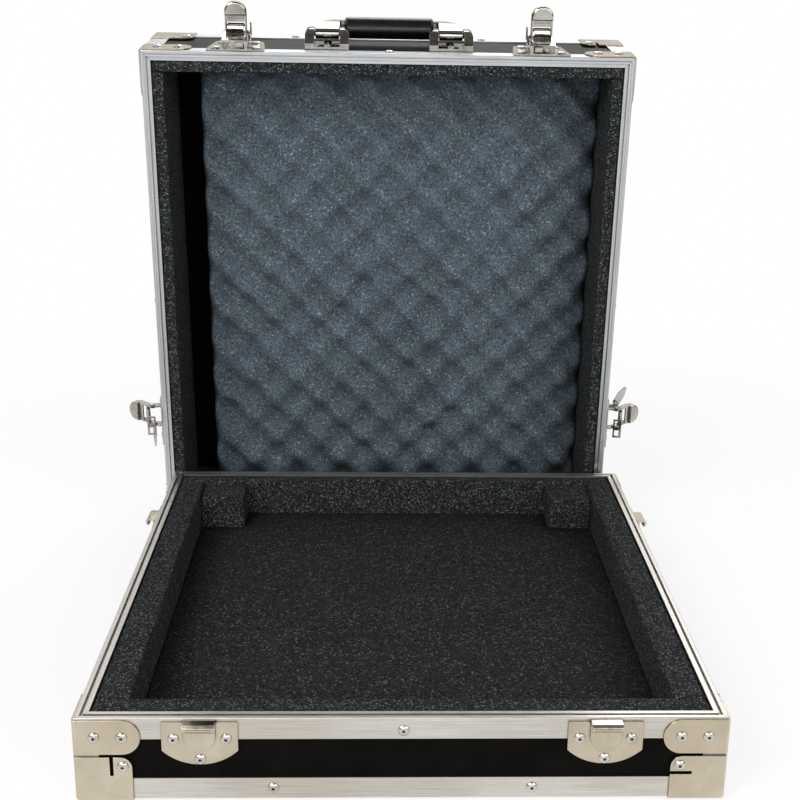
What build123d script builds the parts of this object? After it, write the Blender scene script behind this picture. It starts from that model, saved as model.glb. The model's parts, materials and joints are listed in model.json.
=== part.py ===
from build123d import *
import math
import os

# A low tray and a deep lift-off lid, shown with the lid standing on its rear wall behind the tray.
# Millimetres, +Z up, the front of the tray towards -Y, the floor at z = 0.

# Case
case_width = 500.0
case_depth = 536.0
base_height = 70.0
lid_height = 114.0
lid_shift = -12.5              # the lid stands a little to the left of the tray
board = 7.0                    # laminated plywood
metal = 1.5                    # aluminium flange

# Aluminium edging
flange = 18.0
inner_flange = 12.0
rim_cap = 5.0                  # solid part of the rim over the board's edge
tongue_width = 2.0
tongue_height = 2.6
tongue_clearance = 0.3
mitre_gap = 0.3
edge_round = 0.8

# Steel corners
sheet = 1.5
corner_round = 3.0
rim_corner_length = 50.0
rim_corner_height = 29.0
rim_corner_drop = 1.5          # from the rim down to the corner's upper edge
low_corner_width = 43.0
low_corner_height = 37.0
slit_width = 2.8
slit_inset = 17.0
slit_depth = 16.0
ear_round = 9.0

# Blind rivets
rivet_radius = 4.3
rivet_height = 2.0
rivet_bore = 1.3

# Foam lining
foam_drop = 2.0                # foam below the rim
base_foam_side = 26.0
base_foam_front = 24.0
base_foam_rear = 12.0
base_foam_floor = 21.0
block_width = 47.0
block_depth = 44.0
block_drop = 4.0
lid_foam_wall = 12.0
crate_thickness = 36.0         # egg-crate foam, to the tips of its peaks
crate_left_gap = 27.0
crate_edge_gap = 0.3

# Rubber feet on the rear walls, where the carried case is stood down
foot_height = 10.5
foot_radius = 11.0
foot_inset = 21.0              # foot centre to the outer face beside it
foot_spread = 180.0            # foot centre to the middle of the case
foot_recess = 4.0
foot_recess_radius = 6.0
standing_clearance = 0.5

# Catches on the tray, and latches on the lid in line with them
catch_spread = 155.0
side_catch_from_rear = 128.0
catch_width = 58.0
catch_height = 39.0
catch_shoulder = 27.0
catch_rim_drop = 3.0
lip_width = 24.0
lip_top = 1.2
lip_edge = 8.0
lip_rise = 9.0
lip_sheet = 1.8
lip_hem = 3.2
tongue_rise = 2.0
tongue_end = 26.0

latch_setback = 20.0           # lever pivot behind the rim
latch_front_width = 58.0
latch_back_width = 50.0
latch_length = 58.0
latch_rim_gap = 1.5
latch_chamfer = 5.0
pivot_height = 14.0
pivot_pin = 1.5
pivot_clearance = 0.05
ear_inner = 11.0
ear_sheet = 1.5
ear_reach = 4.5
lever_width = 21.6
lever_sheet = 1.4
lever_length = 33.0
lever_top = 3.0
lever_skirt = 4.0
lever_window = 12.8            # open root, where the hook passes
cap_length = 14.0
cap_rise = 3.5
cap_round = 10.0
cap_edge = 2.2
hook_arm = 9.0                 # hook pin from the lever pivot
hook_offset = 1.5
hook_pin = 1.2
hook_barrel = 2.4
hook_neck = 16.0
hook_width = 22.0
hook_sheet = 1.5
hook_claw = 8.5
hook_window_width = 7.2
hook_window_height = 4.8
hook_bar = 1.8
hook_clearance = 0.5
hook_follow = 0.83             # hook turn on its lever for each turn of the lever
full_open = 135.0              # widest lever angle from closed
top_open = 90.0                # lever angle from closed, as shown
side_open = 51.0
leaf_sheet = 1.2               # thin leaf beside each lever
leaf_gap = 1.6
leaf_depth = 12.0
leaf_height = 26.0
leaf_length = 28.0
leaf_width = 4.0
leaf_wide = 8.0
leaf_short = 21.0
leaf_lean = 27.0               # a raised leaf, from the wall

# Handle
handle_setback = 38.0
bracket_centre = 63.5
bracket_width = 45.0
bracket_depth = 36.0
bracket_height = 19.5
bracket_base = 3.0
cheek = 9.5
cheek_round = 6.0
handle_pin = 2.5
handle_pin_height = 14.0
handle_barrel = 5.5
leg_gap = 1.0
leg_sheet = 3.0                # core inside the grip
leg_root = 4.4                 # half the thickness of a leg at its pin and at the grip
leg_shoulder = 8.0
grip_reach = 34.0
grip_length = 92.0
grip_width = 24.0
grip_thickness = 22.0
handle_fold = 88.0             # from upright, as shown
running_clearance = 0.06

half_width = case_width / 2
rim_width = board + 2 * metal
groove_centre = rim_width / 2
tab_drop = rim_corner_drop + rim_corner_height / 2
foot_line = lid_height - foot_inset - foot_radius
tab_line = tab_drop - rivet_radius / 2
lean = math.degrees(math.atan((foot_height - sheet - rivet_height) / (foot_line - tab_line)))
foot_top = foot_inset + foot_radius
lid_gap = foot_height + foot_top * math.tan(math.radians(lean)) + standing_clearance
hook_reach = latch_setback + lip_edge + hook_arm + hook_sheet + hook_clearance


def block(x0, x1, y0, y1, z0, z1):
    """A box between two corners."""
    size = Box(x1 - x0, y1 - y0, z1 - z0)
    return Pos((x0 + x1) / 2, (y0 + y1) / 2, (z0 + z1) / 2) * size


def ring(inset_out, inset_in, z0, z1):
    """A rectangular band round the case, between two insets from its outer faces."""
    outer = block(-half_width + inset_out, half_width - inset_out,
                  inset_out, case_depth - inset_out, z0, z1)
    inner = block(-half_width + inset_in, half_width - inset_in,
                  inset_in, case_depth - inset_in, z0 - 1, z1 + 1)
    return outer - inner


def wall_plane(side, along, height):
    """A frame on a wall's aluminium face: x along the wall, y towards the rim, z outwards."""
    if side == "rear":
        return Plane(origin=(along, case_depth, height), x_dir=(-1, 0, 0), z_dir=(0, 1, 0))
    if side == "front":
        return Plane(origin=(along, 0, height), x_dir=(1, 0, 0), z_dir=(0, -1, 0))
    if side == "left":
        return Plane(origin=(-half_width, along, height), x_dir=(0, -1, 0), z_dir=(-1, 0, 0))
    return Plane(origin=(half_width, along, height), x_dir=(0, 1, 0), z_dir=(1, 0, 0))


def mitred(band):
    """Cuts a band into its four lengths, with a fine gap on each mitre line."""
    far = case_depth
    reach = 60.0
    gap = mitre_gap / math.sqrt(2)
    front = Polyline((-half_width + gap, 0), (half_width - gap, 0),
                     (half_width - gap - reach, reach), (-half_width + gap + reach, reach), close=True)
    left = Polyline((-half_width, gap), (-half_width, far - gap),
                    (-half_width + reach, far - gap - reach), (-half_width + reach, gap + reach), close=True)
    lengths = []
    for outline in (front, left):
        wedge = extrude(make_face(outline), amount=2 * lid_height, both=True)
        lengths.append(band & wedge)
    opposite_front = mirror(lengths[0], about=Plane.XZ.offset(-case_depth / 2))
    opposite_left = mirror(lengths[1], about=Plane.YZ)
    return [lengths[0], lengths[1], opposite_front, opposite_left]


def rim_profiles(is_lid):
    """Channel over the boards' edges, with a tongue on the lid and its groove on the tray."""
    band = ring(0, rim_width, -rim_cap, 0)
    band += ring(0, metal, -flange, -rim_cap)
    band += ring(rim_width - metal, rim_width, -inner_flange, -rim_cap)
    outer_edges = band.edges().filter_by(lambda e: on_outline(e, 0))
    band = fillet(outer_edges, edge_round)
    half_tongue = tongue_width / 2
    if is_lid:
        band += ring(groove_centre - half_tongue, groove_centre + half_tongue, -1, tongue_height)
    else:
        half_groove = half_tongue + tongue_clearance
        band -= ring(groove_centre - half_groove, groove_centre + half_groove,
                     -tongue_height - tongue_clearance, 1)
    return mitred(band)


def on_outline(edge, height):
    """True for an edge at a height along the case's outer outline."""
    middle = edge.center()
    at_height = abs(middle.Z - height) < 0.01 and edge.length > flange
    on_side = abs(abs(middle.X) - half_width) < 0.01
    on_end = abs(middle.Y) < 0.01 or abs(middle.Y - case_depth) < 0.01
    return at_height and (on_side or on_end)


def edge_profiles(height):
    """Angle round the closed side of a tray."""
    band = ring(0, metal, -height, -height + flange)
    band += ring(0, flange, -height, -height + metal)
    outer_edges = band.edges().filter_by(lambda e: on_outline(e, -height))
    band = fillet(outer_edges, edge_round)
    return mitred(band)


def four_corners(piece):
    """A corner piece made at the front left, and its three mirror images."""
    right = mirror(piece, about=Plane.YZ)
    both = [piece, right]
    rear = [mirror(p, about=Plane.XZ.offset(-case_depth / 2)) for p in both]
    return both + rear


def corner_angles(height):
    """Upright angles between the rim and the edge profiles."""
    x0 = -half_width
    z0 = -height + flange
    outer = block(x0, x0 + flange, 0, flange, z0, -flange)
    inner = block(x0 + metal, x0 + flange + 1, metal, flange + 1, z0 - 1, -flange + 1)
    return four_corners(outer - inner)


def rim_corners():
    """Steel angles round the rim's corners, each tab with a round end."""
    x0 = -half_width
    radius = rim_corner_height / 2
    middle = -rim_corner_drop - radius
    straight = rim_corner_length - radius
    outer = block(x0 - sheet, x0 + straight, -sheet, straight, middle - radius, middle + radius)
    upright = outer.edges().filter_by(Axis.Z).sort_by(lambda e: e.center().X + e.center().Y)[0]
    outer = fillet(upright, corner_round)
    inner = block(x0, x0 + straight + 1, 0, straight + 1, middle - radius - 1, middle + radius + 1)
    piece = outer - inner
    front_end = extrude(Plane.XZ * Pos(x0 + straight, middle) * Circle(radius), amount=sheet)
    side_end = extrude(Plane.YZ.offset(x0) * Pos(straight, middle) * Circle(radius), amount=-sheet)
    piece += front_end
    piece += side_end
    return four_corners(piece)


def handed_corners(piece, partner):
    """A handed corner piece, front left and rear right, and its partner's mirror images at the other corners."""
    along = Plane.XZ.offset(-case_depth / 2)
    opposite = mirror(mirror(piece, about=Plane.YZ), about=along)
    return [piece, mirror(partner, about=Plane.YZ), mirror(partner, about=along), opposite]


def low_corners(height):
    """Steel cups over the closed corners, each with two small riveted ears.

    The pressing is handed: the slit beside its ear is upright on one face and level on the next.
    """
    x0 = -half_width
    top = -height + low_corner_height
    reach = low_corner_width
    outer = block(x0 - sheet, x0 + reach, -sheet, reach, -height - sheet, top)
    corner_point = Vector(x0 - sheet, -sheet, -height - sheet)
    meeting = outer.edges().filter_by(lambda e: min((v.center() - corner_point).length for v in e.vertices()) < 0.01)
    outer = fillet(meeting, corner_round)
    inner = block(x0, x0 + reach + 1, 0, reach + 1, -height, top + 1)
    piece = outer - inner
    side_ends = piece.edges().filter_by(lambda e: abs(e.length - sheet) < 0.01 and e.center().Z > top - 0.01
                                        and max(e.center().X - x0, e.center().Y) > reach - 0.01)
    piece = fillet(side_ends, ear_round)
    floor_corner = piece.edges().filter_by(lambda e: abs(e.length - sheet) < 0.01 and e.center().Z < -height
                                           and min(e.center().X - x0, e.center().Y) > reach - 0.01)
    piece = fillet(floor_corner, ear_round)
    slit_at = reach - slit_inset
    slit_foot = top - slit_depth
    front_upright = block(x0 + slit_at, x0 + slit_at + slit_width, -sheet - 1, 1, slit_foot, top + 1)
    front_level = block(x0 + slit_at, x0 + reach + 1, -sheet - 1, 1, slit_foot, slit_foot + slit_width)
    side_upright = block(x0 - sheet - 1, x0 + 1, slit_at, slit_at + slit_width, slit_foot, top + 1)
    side_level = block(x0 - sheet - 1, x0 + 1, slit_at, reach + 1, slit_foot, slit_foot + slit_width)
    return handed_corners(piece - front_upright - side_level, piece - front_level - side_upright)


def rivet():
    """A domed blind rivet with its hollow stem, standing on z = 0."""
    brim = rivet_height * 0.3
    outline = Polyline((rivet_bore, 0), (rivet_radius, 0), (rivet_radius, brim))
    dome = ThreePointArc((rivet_radius, brim), ((rivet_radius + rivet_bore) * 0.56, rivet_height * 0.82),
                         (rivet_bore, rivet_height))
    stem = Line((rivet_bore, rivet_height), (rivet_bore, 0))
    head = revolve(Plane.XZ * make_face(outline + dome + stem), Axis.Z)
    core = Pos(0, 0, brim / 2) * Cylinder(rivet_bore, brim)
    return head + core


RIVET = rivet()


def rivets_at(side, points, height_over):
    """Rivets on a wall, at points given along the wall and from the rim."""
    placed = []
    for along, drop in points:
        plane = wall_plane(side, along, -drop)
        placed.append(plane.location * Pos(0, 0, height_over) * RIVET)
    return placed


def corner_rivets(height):
    """Two rivets in each rim tab and one in each ear of the closed corners."""
    tab_points = (15.0, 36.0)
    ear_point = low_corner_width - slit_inset / 2 + slit_width / 2
    ear_drop = height - low_corner_height + slit_depth / 2
    placed = []
    for side in ("front", "rear"):
        for mark in (-1, 1):
            points = [(mark * (half_width - p), tab_drop) for p in tab_points]
            points.append((mark * (half_width - ear_point), ear_drop))
            placed += rivets_at(side, points, sheet)
    for side in ("left", "right"):
        points = [(p, tab_drop) for p in tab_points]
        points += [(case_depth - p, tab_drop) for p in tab_points]
        points += [(ear_point, ear_drop), (case_depth - ear_point, ear_drop)]
        placed += rivets_at(side, points, sheet)
    return placed


def profile_rivets(height):
    """One rivet in the middle of each rim length and two in each edge length."""
    rim_drop = flange * 0.6
    edge_drop = height - flange / 2
    spread = 100.0
    placed = []
    for side in ("front", "rear"):
        placed += rivets_at(side, [(0, rim_drop), (-spread, edge_drop), (spread, edge_drop)], 0)
    middle = case_depth / 2
    for side in ("left", "right"):
        placed += rivets_at(side, [(middle, rim_drop), (middle - spread, edge_drop),
                                   (middle + spread, edge_drop)], 0)
    return placed


def boards(prefix, height):
    """Five laminated boards: four walls seated in the rim, and the closed side between them."""
    outer = metal
    inner = metal + board
    top = -rim_cap
    low = -height + metal
    wide = half_width - outer
    return {
        prefix + "_front_board": block(-wide, wide, outer, inner, low, top),
        prefix + "_rear_board": block(-wide, wide, case_depth - inner, case_depth - outer, low, top),
        prefix + "_left_board": block(-wide, -half_width + inner, inner, case_depth - inner, low, top),
        prefix + "_right_board": block(half_width - inner, wide, inner, case_depth - inner, low, top),
        prefix + "_floor_board": block(-half_width + inner, half_width - inner, inner,
                                       case_depth - inner, low, low + board),
    }


def foot():
    """A round rubber foot with a recess for its rivet, standing on z = 0."""
    body = Pos(0, 0, foot_height / 2) * Cylinder(foot_radius, foot_height)
    body = fillet(body.edges().group_by(Axis.Z)[-1], 1.5)
    recess = Pos(0, 0, foot_height - foot_recess / 2) * Cylinder(foot_recess_radius, foot_recess)
    return body - recess


def feet(side, height):
    """Two feet on a rear wall, near its closed side, with the rivets that hold them."""
    pads = []
    fixings = []
    for mark in (-1, 1):
        plane = wall_plane(side, mark * foot_spread, -height + foot_inset)
        pads.append(plane.location * foot())
        fixings.append(plane.location * Pos(0, 0, foot_height - foot_recess) * RIVET)
    return pads, fixings


def catch():
    """Plate with straight sides and an arched foot, and a raised lip for the draw hook."""
    half = catch_width / 2
    top = -catch_rim_drop
    outline = Polyline((-half, -catch_shoulder), (-half, top), (half, top), (half, -catch_shoulder))
    arch = ThreePointArc((half, -catch_shoulder), (0, -catch_height), (-half, -catch_shoulder))
    face = make_face(outline + arch)
    plate = extrude(face, amount=sheet)
    pad_face = face & (Pos(0, -flange - catch_height / 2 - 0.2) * Rectangle(catch_width, catch_height))
    pad_face = offset(pad_face, amount=-1.5)
    plate += extrude(pad_face, amount=-metal)
    half_lip = lip_width / 2
    tongue = Pos(0, -(lip_top + tongue_end - half_lip) / 2) * Rectangle(lip_width, tongue_end - half_lip - lip_top)
    tongue += Pos(0, -tongue_end + half_lip) * Circle(half_lip)
    plate += extrude(tongue, amount=sheet + tongue_rise)
    high = sheet + lip_rise
    inside = lip_top + lip_sheet
    profile = Polyline((-lip_top, 0), (-lip_top, high - 2), (-lip_top - 2, high), (-lip_edge + 1.5, high),
                       (-lip_edge, high - 1.5), (-lip_edge, high - lip_hem), (-lip_edge + 1.2, high - lip_hem),
                       (-lip_edge + 1.6, high - lip_sheet), (-inside - 1, high - lip_sheet),
                       (-inside, high - lip_sheet - 1), (-inside, 0), close=True)
    lip = extrude(Plane.YZ * make_face(profile), amount=half_lip, both=True)
    for ridge in (0.4, 0.7):
        at = -lip_top - ridge * (lip_edge - lip_top)
        lip -= Pos(0, at, high) * Box(lip_width - 4, 0.7, 0.6)
    return plate + lip


CATCH_RIVETS = ((-20.0, 17.0), (20.0, 17.0), (0.0, 34.5))


def leaf(kind):
    """The thin leaf beside a latch's ears, on the side of its x axis: hanging, reaching out or raised."""
    root = ear_inner + ear_sheet
    if kind == "hanging":
        at = root + leaf_gap
        half = leaf_depth / 2
        outline = Polyline((-half, sheet / 2), (-half * 0.8, leaf_height), (-half * 0.1, leaf_height),
                           (half, leaf_height * 0.4), (half, sheet / 2), close=True)
        face = fillet(make_face(outline).vertices().group_by(Axis.Z)[-1], 1.8)
        return extrude(Plane.YZ.offset(at) * face, amount=leaf_sheet)
    back = -ear_reach - leaf_sheet
    lug = block(root - ear_sheet, root + leaf_gap, back - leaf_sheet, -ear_reach + 0.4, 0, pivot_height + 2)
    long = leaf_length if kind == "out" else leaf_short
    width = leaf_width if kind == "out" else leaf_wide
    outline = Polyline((0, -width / 2), (long * 0.55, -width / 2), (long, -width / 6), (long, width / 6),
                       (long * 0.55, width / 2), (0, width / 2), close=True)
    face = make_face(outline) + Circle(width / 2)
    blade = extrude(face, amount=leaf_sheet)
    turn = 0 if kind == "out" else leaf_lean
    seat = Pos(root + width / 2, back, pivot_height) * Rot(90, 0, 0) * Rot(0, 0, turn)
    return lug + seat * blade


def latch_plate(kind, mirrored):
    """Plate with two ears for the lever's pivots and a leaf on one side. Its origin is under the pivot."""
    front = latch_setback - latch_rim_gap
    back = front - latch_length
    wide = latch_front_width / 2
    slim = latch_back_width / 2
    cut = latch_chamfer
    outline = Polyline((-wide, front), (wide, front), (wide, front - cut * 3), (slim, back + cut),
                       (slim - cut, back), (cut - slim, back), (-slim, back + cut), (-wide, front - cut * 3),
                       close=True)
    face = make_face(outline)
    plate = extrude(face, amount=sheet)
    over_board = latch_setback - flange - 0.2
    pad = face & (Pos(0, over_board - latch_length / 2) * Rectangle(latch_front_width, latch_length))
    plate += extrude(offset(pad, amount=-1.5), amount=-metal)
    for mark in (-1, 1):
        near = mark * ear_inner
        far = mark * (ear_inner + ear_sheet)
        ear = block(min(near, far), max(near, far), -ear_reach, ear_reach, 0, pivot_height)
        tip = Pos((near + far) / 2, 0, pivot_height) * Rot(0, 90, 0) * Cylinder(ear_reach, ear_sheet)
        bore = Pos((near + far) / 2, 0, pivot_height) * Rot(0, 90, 0) * Cylinder(pivot_pin, 3 * ear_sheet)
        plate += ear + tip
        plate -= bore
        rail = block(min(near, far), max(near, far), back + 8, -ear_reach, 0, 4.0)
        plate += rail
    side_leaf = leaf(kind)
    if mirrored:
        side_leaf = mirror(side_leaf, about=Plane.YZ)
    return plate + side_leaf


LATCH_RIVETS = ((-20.5, 9.0), (20.5, 9.0), (-17.5, -26.0), (17.5, -26.0))


def pivot_rivets():
    """Two stub rivets that carry the lever and leave the way between them open to the hook."""
    stubs = []
    for mark in (-1, 1):
        inner_end = lever_width / 2 - lever_sheet - 0.2
        outer_end = ear_inner + ear_sheet + 0.8
        pin = Pos(mark * (inner_end + outer_end) / 2, 0, pivot_height) * Rot(0, 90, 0)
        stub = pin * Cylinder(pivot_pin, outer_end - inner_end)
        head_at = Pos(mark * (ear_inner + ear_sheet + 0.5), 0, pivot_height) * Rot(0, 90, 0)
        stub += head_at * Cylinder(2 * pivot_pin, 1.0)
        stubs.append(stub)
    return stubs


def lever():
    """Sheet lever with skirts, an open root for the hook and a thick round cap. Drawn closed, pivot at 0."""
    half = lever_width / 2
    tip = -lever_length
    body = block(-half, half, tip, -lever_window, lever_top - lever_sheet, lever_top)
    skirt_outline = Polyline((-lever_skirt, -lever_skirt), (lever_skirt, -lever_skirt), (lever_skirt, lever_top),
                             (tip, lever_top), (tip, 0), (tip + cap_length, -lever_skirt), close=True)
    skirt_face = fillet(make_face(skirt_outline).vertices().sort_by(Axis.X)[-2:], 3.0)
    for mark in (-1, 1):
        at = half - lever_sheet if mark > 0 else -half
        skirt = extrude(Plane.YZ.offset(at) * skirt_face, amount=lever_sheet)
        body += skirt
    cap = block(-half, half, tip, tip + cap_length, 0, lever_top + cap_rise)
    ends = cap.edges().filter_by(Axis.Z).group_by(Axis.Y)[0]
    cap = fillet(ends, cap_round)
    rims = cap.faces().sort_by(Axis.Z)[-1].edges()
    cap = fillet(rims, cap_edge)
    plan = Pos(0, (tip + lever_skirt) / 2) * Rectangle(lever_width, lever_length + lever_skirt)
    plan = fillet(plan.vertices().group_by(Axis.Y)[0], cap_round)
    body &= extrude(plan, amount=lever_length, both=True)
    body += cap
    tip_cut = Polyline((tip - 1, -lever_skirt - 1), (tip - 1, 0), (tip + cap_length, 0),
                       (tip + cap_length, -lever_skirt - 1), close=True)
    round_tip = extrude(Plane.YZ * make_face(tip_cut), amount=half + 1, both=True)
    body -= round_tip & block(-half - 1, half + 1, tip - 1, tip + cap_length / 2, -lever_skirt - 1, 0)
    pivot = Rot(0, 90, 0) * Cylinder(pivot_pin + pivot_clearance, 2 * lever_width)
    hook_hole = Pos(0, -hook_arm, -hook_offset) * Rot(0, 90, 0) * Cylinder(hook_pin + pivot_clearance, 2 * lever_width)
    groove = Pos(0, tip + cap_length + 2.5, lever_top) * Box(lever_width - 6, 1.2, 0.8)
    return body - pivot - hook_hole - groove


def draw_hook():
    """Flat draw hook whose bent claw has two windows. Its pin is at 0 and it points along +y."""
    barrel = Rot(0, 90, 0) * Cylinder(hook_barrel, hook_neck)
    pin = Rot(0, 90, 0) * Cylinder(hook_pin, lever_width)
    neck_end = 14.0
    widen = 4.0
    neck = hook_neck / 2
    half = hook_width / 2
    outline = Polyline((-neck, 0), (-neck, neck_end), (-half, neck_end + widen), (-half, hook_reach),
                       (half, hook_reach), (half, neck_end + widen), (neck, neck_end), (neck, 0), close=True)
    arm = Pos(0, 0, -hook_sheet / 2) * extrude(make_face(outline), amount=hook_sheet)
    claw = block(-half, half, hook_reach - hook_sheet, hook_reach, -hook_claw, hook_sheet / 2)
    middle = -hook_claw + hook_bar + hook_window_height / 2
    for mark in (-1, 1):
        at = mark * (half - hook_bar - hook_window_width / 2)
        claw -= Pos(at, hook_reach - hook_sheet / 2, middle) * Box(hook_window_width, 3 * hook_sheet,
                                                                    hook_window_height)
    return barrel + pin + arm + claw


def handle_bracket():
    """Cast bracket with two cheeks and a bored pin seat. Its origin is under the pin."""
    half = bracket_width / 2
    low = -metal
    foot_plate = block(-half, half, -bracket_depth / 2, bracket_depth / 2, low, bracket_base)
    body = foot_plate
    side = Polyline((-bracket_depth / 2, low), (-bracket_depth / 2, 6), (-9, bracket_height),
                    (9, bracket_height), (bracket_depth / 2, 6), (bracket_depth / 2, low), close=True)
    cheek_face = make_face(side)
    cheek_face = fillet(cheek_face.vertices().group_by(Axis.Y)[-1], 5.0)
    for at in (-half, half - cheek):
        body += extrude(Plane.YZ.offset(at) * cheek_face, amount=cheek)
    outline = Pos(0, (bracket_height + low) / 2) * Rectangle(bracket_width, bracket_height - low)
    outline = fillet(outline.vertices().group_by(Axis.Y)[-1], cheek_round)
    body &= extrude(Plane.XZ * outline, amount=bracket_depth, both=True)
    bore = Pos(0, 0, handle_pin_height) * Rot(0, 90, 0) * Cylinder(handle_pin, bracket_width - 4)
    return body - bore


def handle_bail():
    """Strap of the handle: two barrels, two curved legs and the core inside the grip. Drawn upright."""
    leg_half = (bracket_width - 2 * cheek) / 2 - leg_gap
    outer = bracket_centre + leg_half
    inner = bracket_centre - leg_half
    top = grip_reach + grip_width / 4
    bend = ThreePointArc((outer, handle_barrel), (outer - 8, top * 0.68), (inner - 4, top))
    path = Polyline((inner - 4, top), (0, top), (0, grip_reach - 5), (inner, grip_reach - 5), (inner, 0),
                    (outer, 0), (outer, handle_barrel))
    half_face = make_face(bend + path)
    core = extrude(Plane.XZ * half_face, amount=leg_sheet / 2, both=True)
    side = Polyline((-leg_root, 0), (-leg_shoulder, grip_reach * 0.6), (-leg_shoulder, top * 0.9),
                    (-leg_shoulder * 0.6, top + 1), (leg_shoulder * 0.6, top + 1), (leg_shoulder, top * 0.9),
                    (leg_shoulder, grip_reach * 0.6), (leg_root, 0), close=True)
    thick = extrude(Plane.XZ * half_face, amount=leg_shoulder, both=True)
    thick &= extrude(Plane.YZ.offset(grip_length / 2 + running_clearance) * make_face(side), amount=outer)
    plate = core + thick
    plate = plate + mirror(plate, about=Plane.YZ)
    for mark in (-1, 1):
        seat = Pos(mark * bracket_centre, 0, 0) * Rot(0, 90, 0)
        plate += seat * Cylinder(handle_barrel, 2 * leg_half)
        plate -= seat * Cylinder(handle_pin + running_clearance, 3 * leg_half)
    return plate


def handle_grip():
    """Soft grip round the core, drawn upright, with its slot cut to the core."""
    section = Pos(0, 0) * Ellipse(grip_width / 2, grip_thickness / 2)
    half = grip_length / 2
    body = extrude(Plane.YZ * Rot(0, 0, 90) * section, amount=half - 2, both=True)
    small = Rot(0, 0, 90) * Ellipse(grip_width / 2 - 2, grip_thickness / 2 - 2)
    for mark in (-1, 1):
        near = Plane.YZ.offset(mark * (half - 2)) * Rot(0, 0, 90) * section
        far = Plane.YZ.offset(mark * half) * small
        body += loft([near, far])
    body = Pos(0, 0, grip_reach) * body
    core = block(-half - 1, half + 1, -leg_sheet / 2, leg_sheet / 2, grip_reach - 5, grip_reach + grip_width / 4)
    return body - core


def base_nodes():
    """The tray, in its own frame: rim at z = 0, open side up."""
    height = base_height
    nodes = boards("base", height)
    nodes["base_rim_profiles"] = rim_profiles(False)
    nodes["base_edge_profiles"] = edge_profiles(height)
    nodes["base_corner_angles"] = corner_angles(height)
    nodes["base_rim_corners"] = rim_corners()
    nodes["base_low_corners"] = low_corners(height)
    pads, fixings = feet("rear", height)
    nodes["base_feet"] = pads
    rivets = corner_rivets(height) + profile_rivets(height) + fixings
    wide = half_width - rim_width
    back = case_depth - rim_width
    low = -height + metal + board
    floor = low + base_foam_floor
    top = -foam_drop
    front_face = rim_width + base_foam_front
    rear_face = back - base_foam_rear
    side_face = wide - base_foam_side
    nodes["base_foam_front"] = block(-wide, wide, rim_width, front_face, low, top)
    nodes["base_foam_rear"] = block(-wide, wide, rear_face, back, low, top)
    nodes["base_foam_left"] = block(-wide, -side_face, front_face, rear_face, low, top)
    nodes["base_foam_right"] = block(side_face, wide, front_face, rear_face, low, top)
    block_front = rear_face - block_depth
    block_top = top - block_drop
    inner = side_face - block_width
    nodes["base_foam_block_left"] = block(-side_face, -inner, block_front, rear_face, low, block_top)
    nodes["base_foam_block_right"] = block(inner, side_face, block_front, rear_face, low, block_top)
    nodes["base_foam_floor"] = (block(-side_face, side_face, front_face, block_front, low, floor)
                                + block(-inner, inner, block_front, rear_face, low, floor))
    side_along = case_depth - side_catch_from_rear
    catches = {
        "catch_front_left": ("front", -catch_spread),
        "catch_front_right": ("front", catch_spread),
        "catch_side_left": ("left", side_along),
        "catch_side_right": ("right", side_along),
    }
    plate = catch()
    for name, (side, along) in catches.items():
        nodes[name] = wall_plane(side, along, 0).location * plate
        for x, drop in CATCH_RIVETS:
            place = wall_plane(side, along, 0).location * Pos(x, -drop, sheet)
            rivets.append(place * RIVET)
    nodes["base_rivets"] = rivets
    return nodes


# Wall, place along it, lever angle as shown, kind of leaf and whether it is on the other side.
# The carrying wall's x axis runs from the viewer's right to the left.
LATCHES = {
    "top_left": ("rear", -catch_spread, top_open, "hanging", True),
    "top_right": ("rear", catch_spread, top_open, "hanging", False),
    "side_left": ("left", side_catch_from_rear, side_open, "out", False),
    "side_right": ("right", side_catch_from_rear, side_open, "raised", False),
}


def latch_frame(side, along):
    """A latch's frame on the lid: origin on the wall under its pivot."""
    return wall_plane(side, along, -latch_setback).location


def lever_place(side, along, opened):
    """Where a lever lies when it is turned back from closed by an angle."""
    return latch_frame(side, along) * Pos(0, 0, pivot_height) * Rot(-opened, 0, 0)


def hook_place(side, along, opened):
    """Where a hook lies: its pin in the lever, turned on it by a share of the lever's angle."""
    return lever_place(side, along, opened) * Pos(0, -hook_arm, -hook_offset) * Rot(hook_follow * opened, 0, 0)


def handle_place():
    """The handle's pin line on the lid's carrying wall, folded back as shown."""
    frame = wall_plane("rear", 0, -handle_setback).location
    return frame * Pos(0, 0, handle_pin_height) * Rot(handle_fold, 0, 0)


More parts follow.
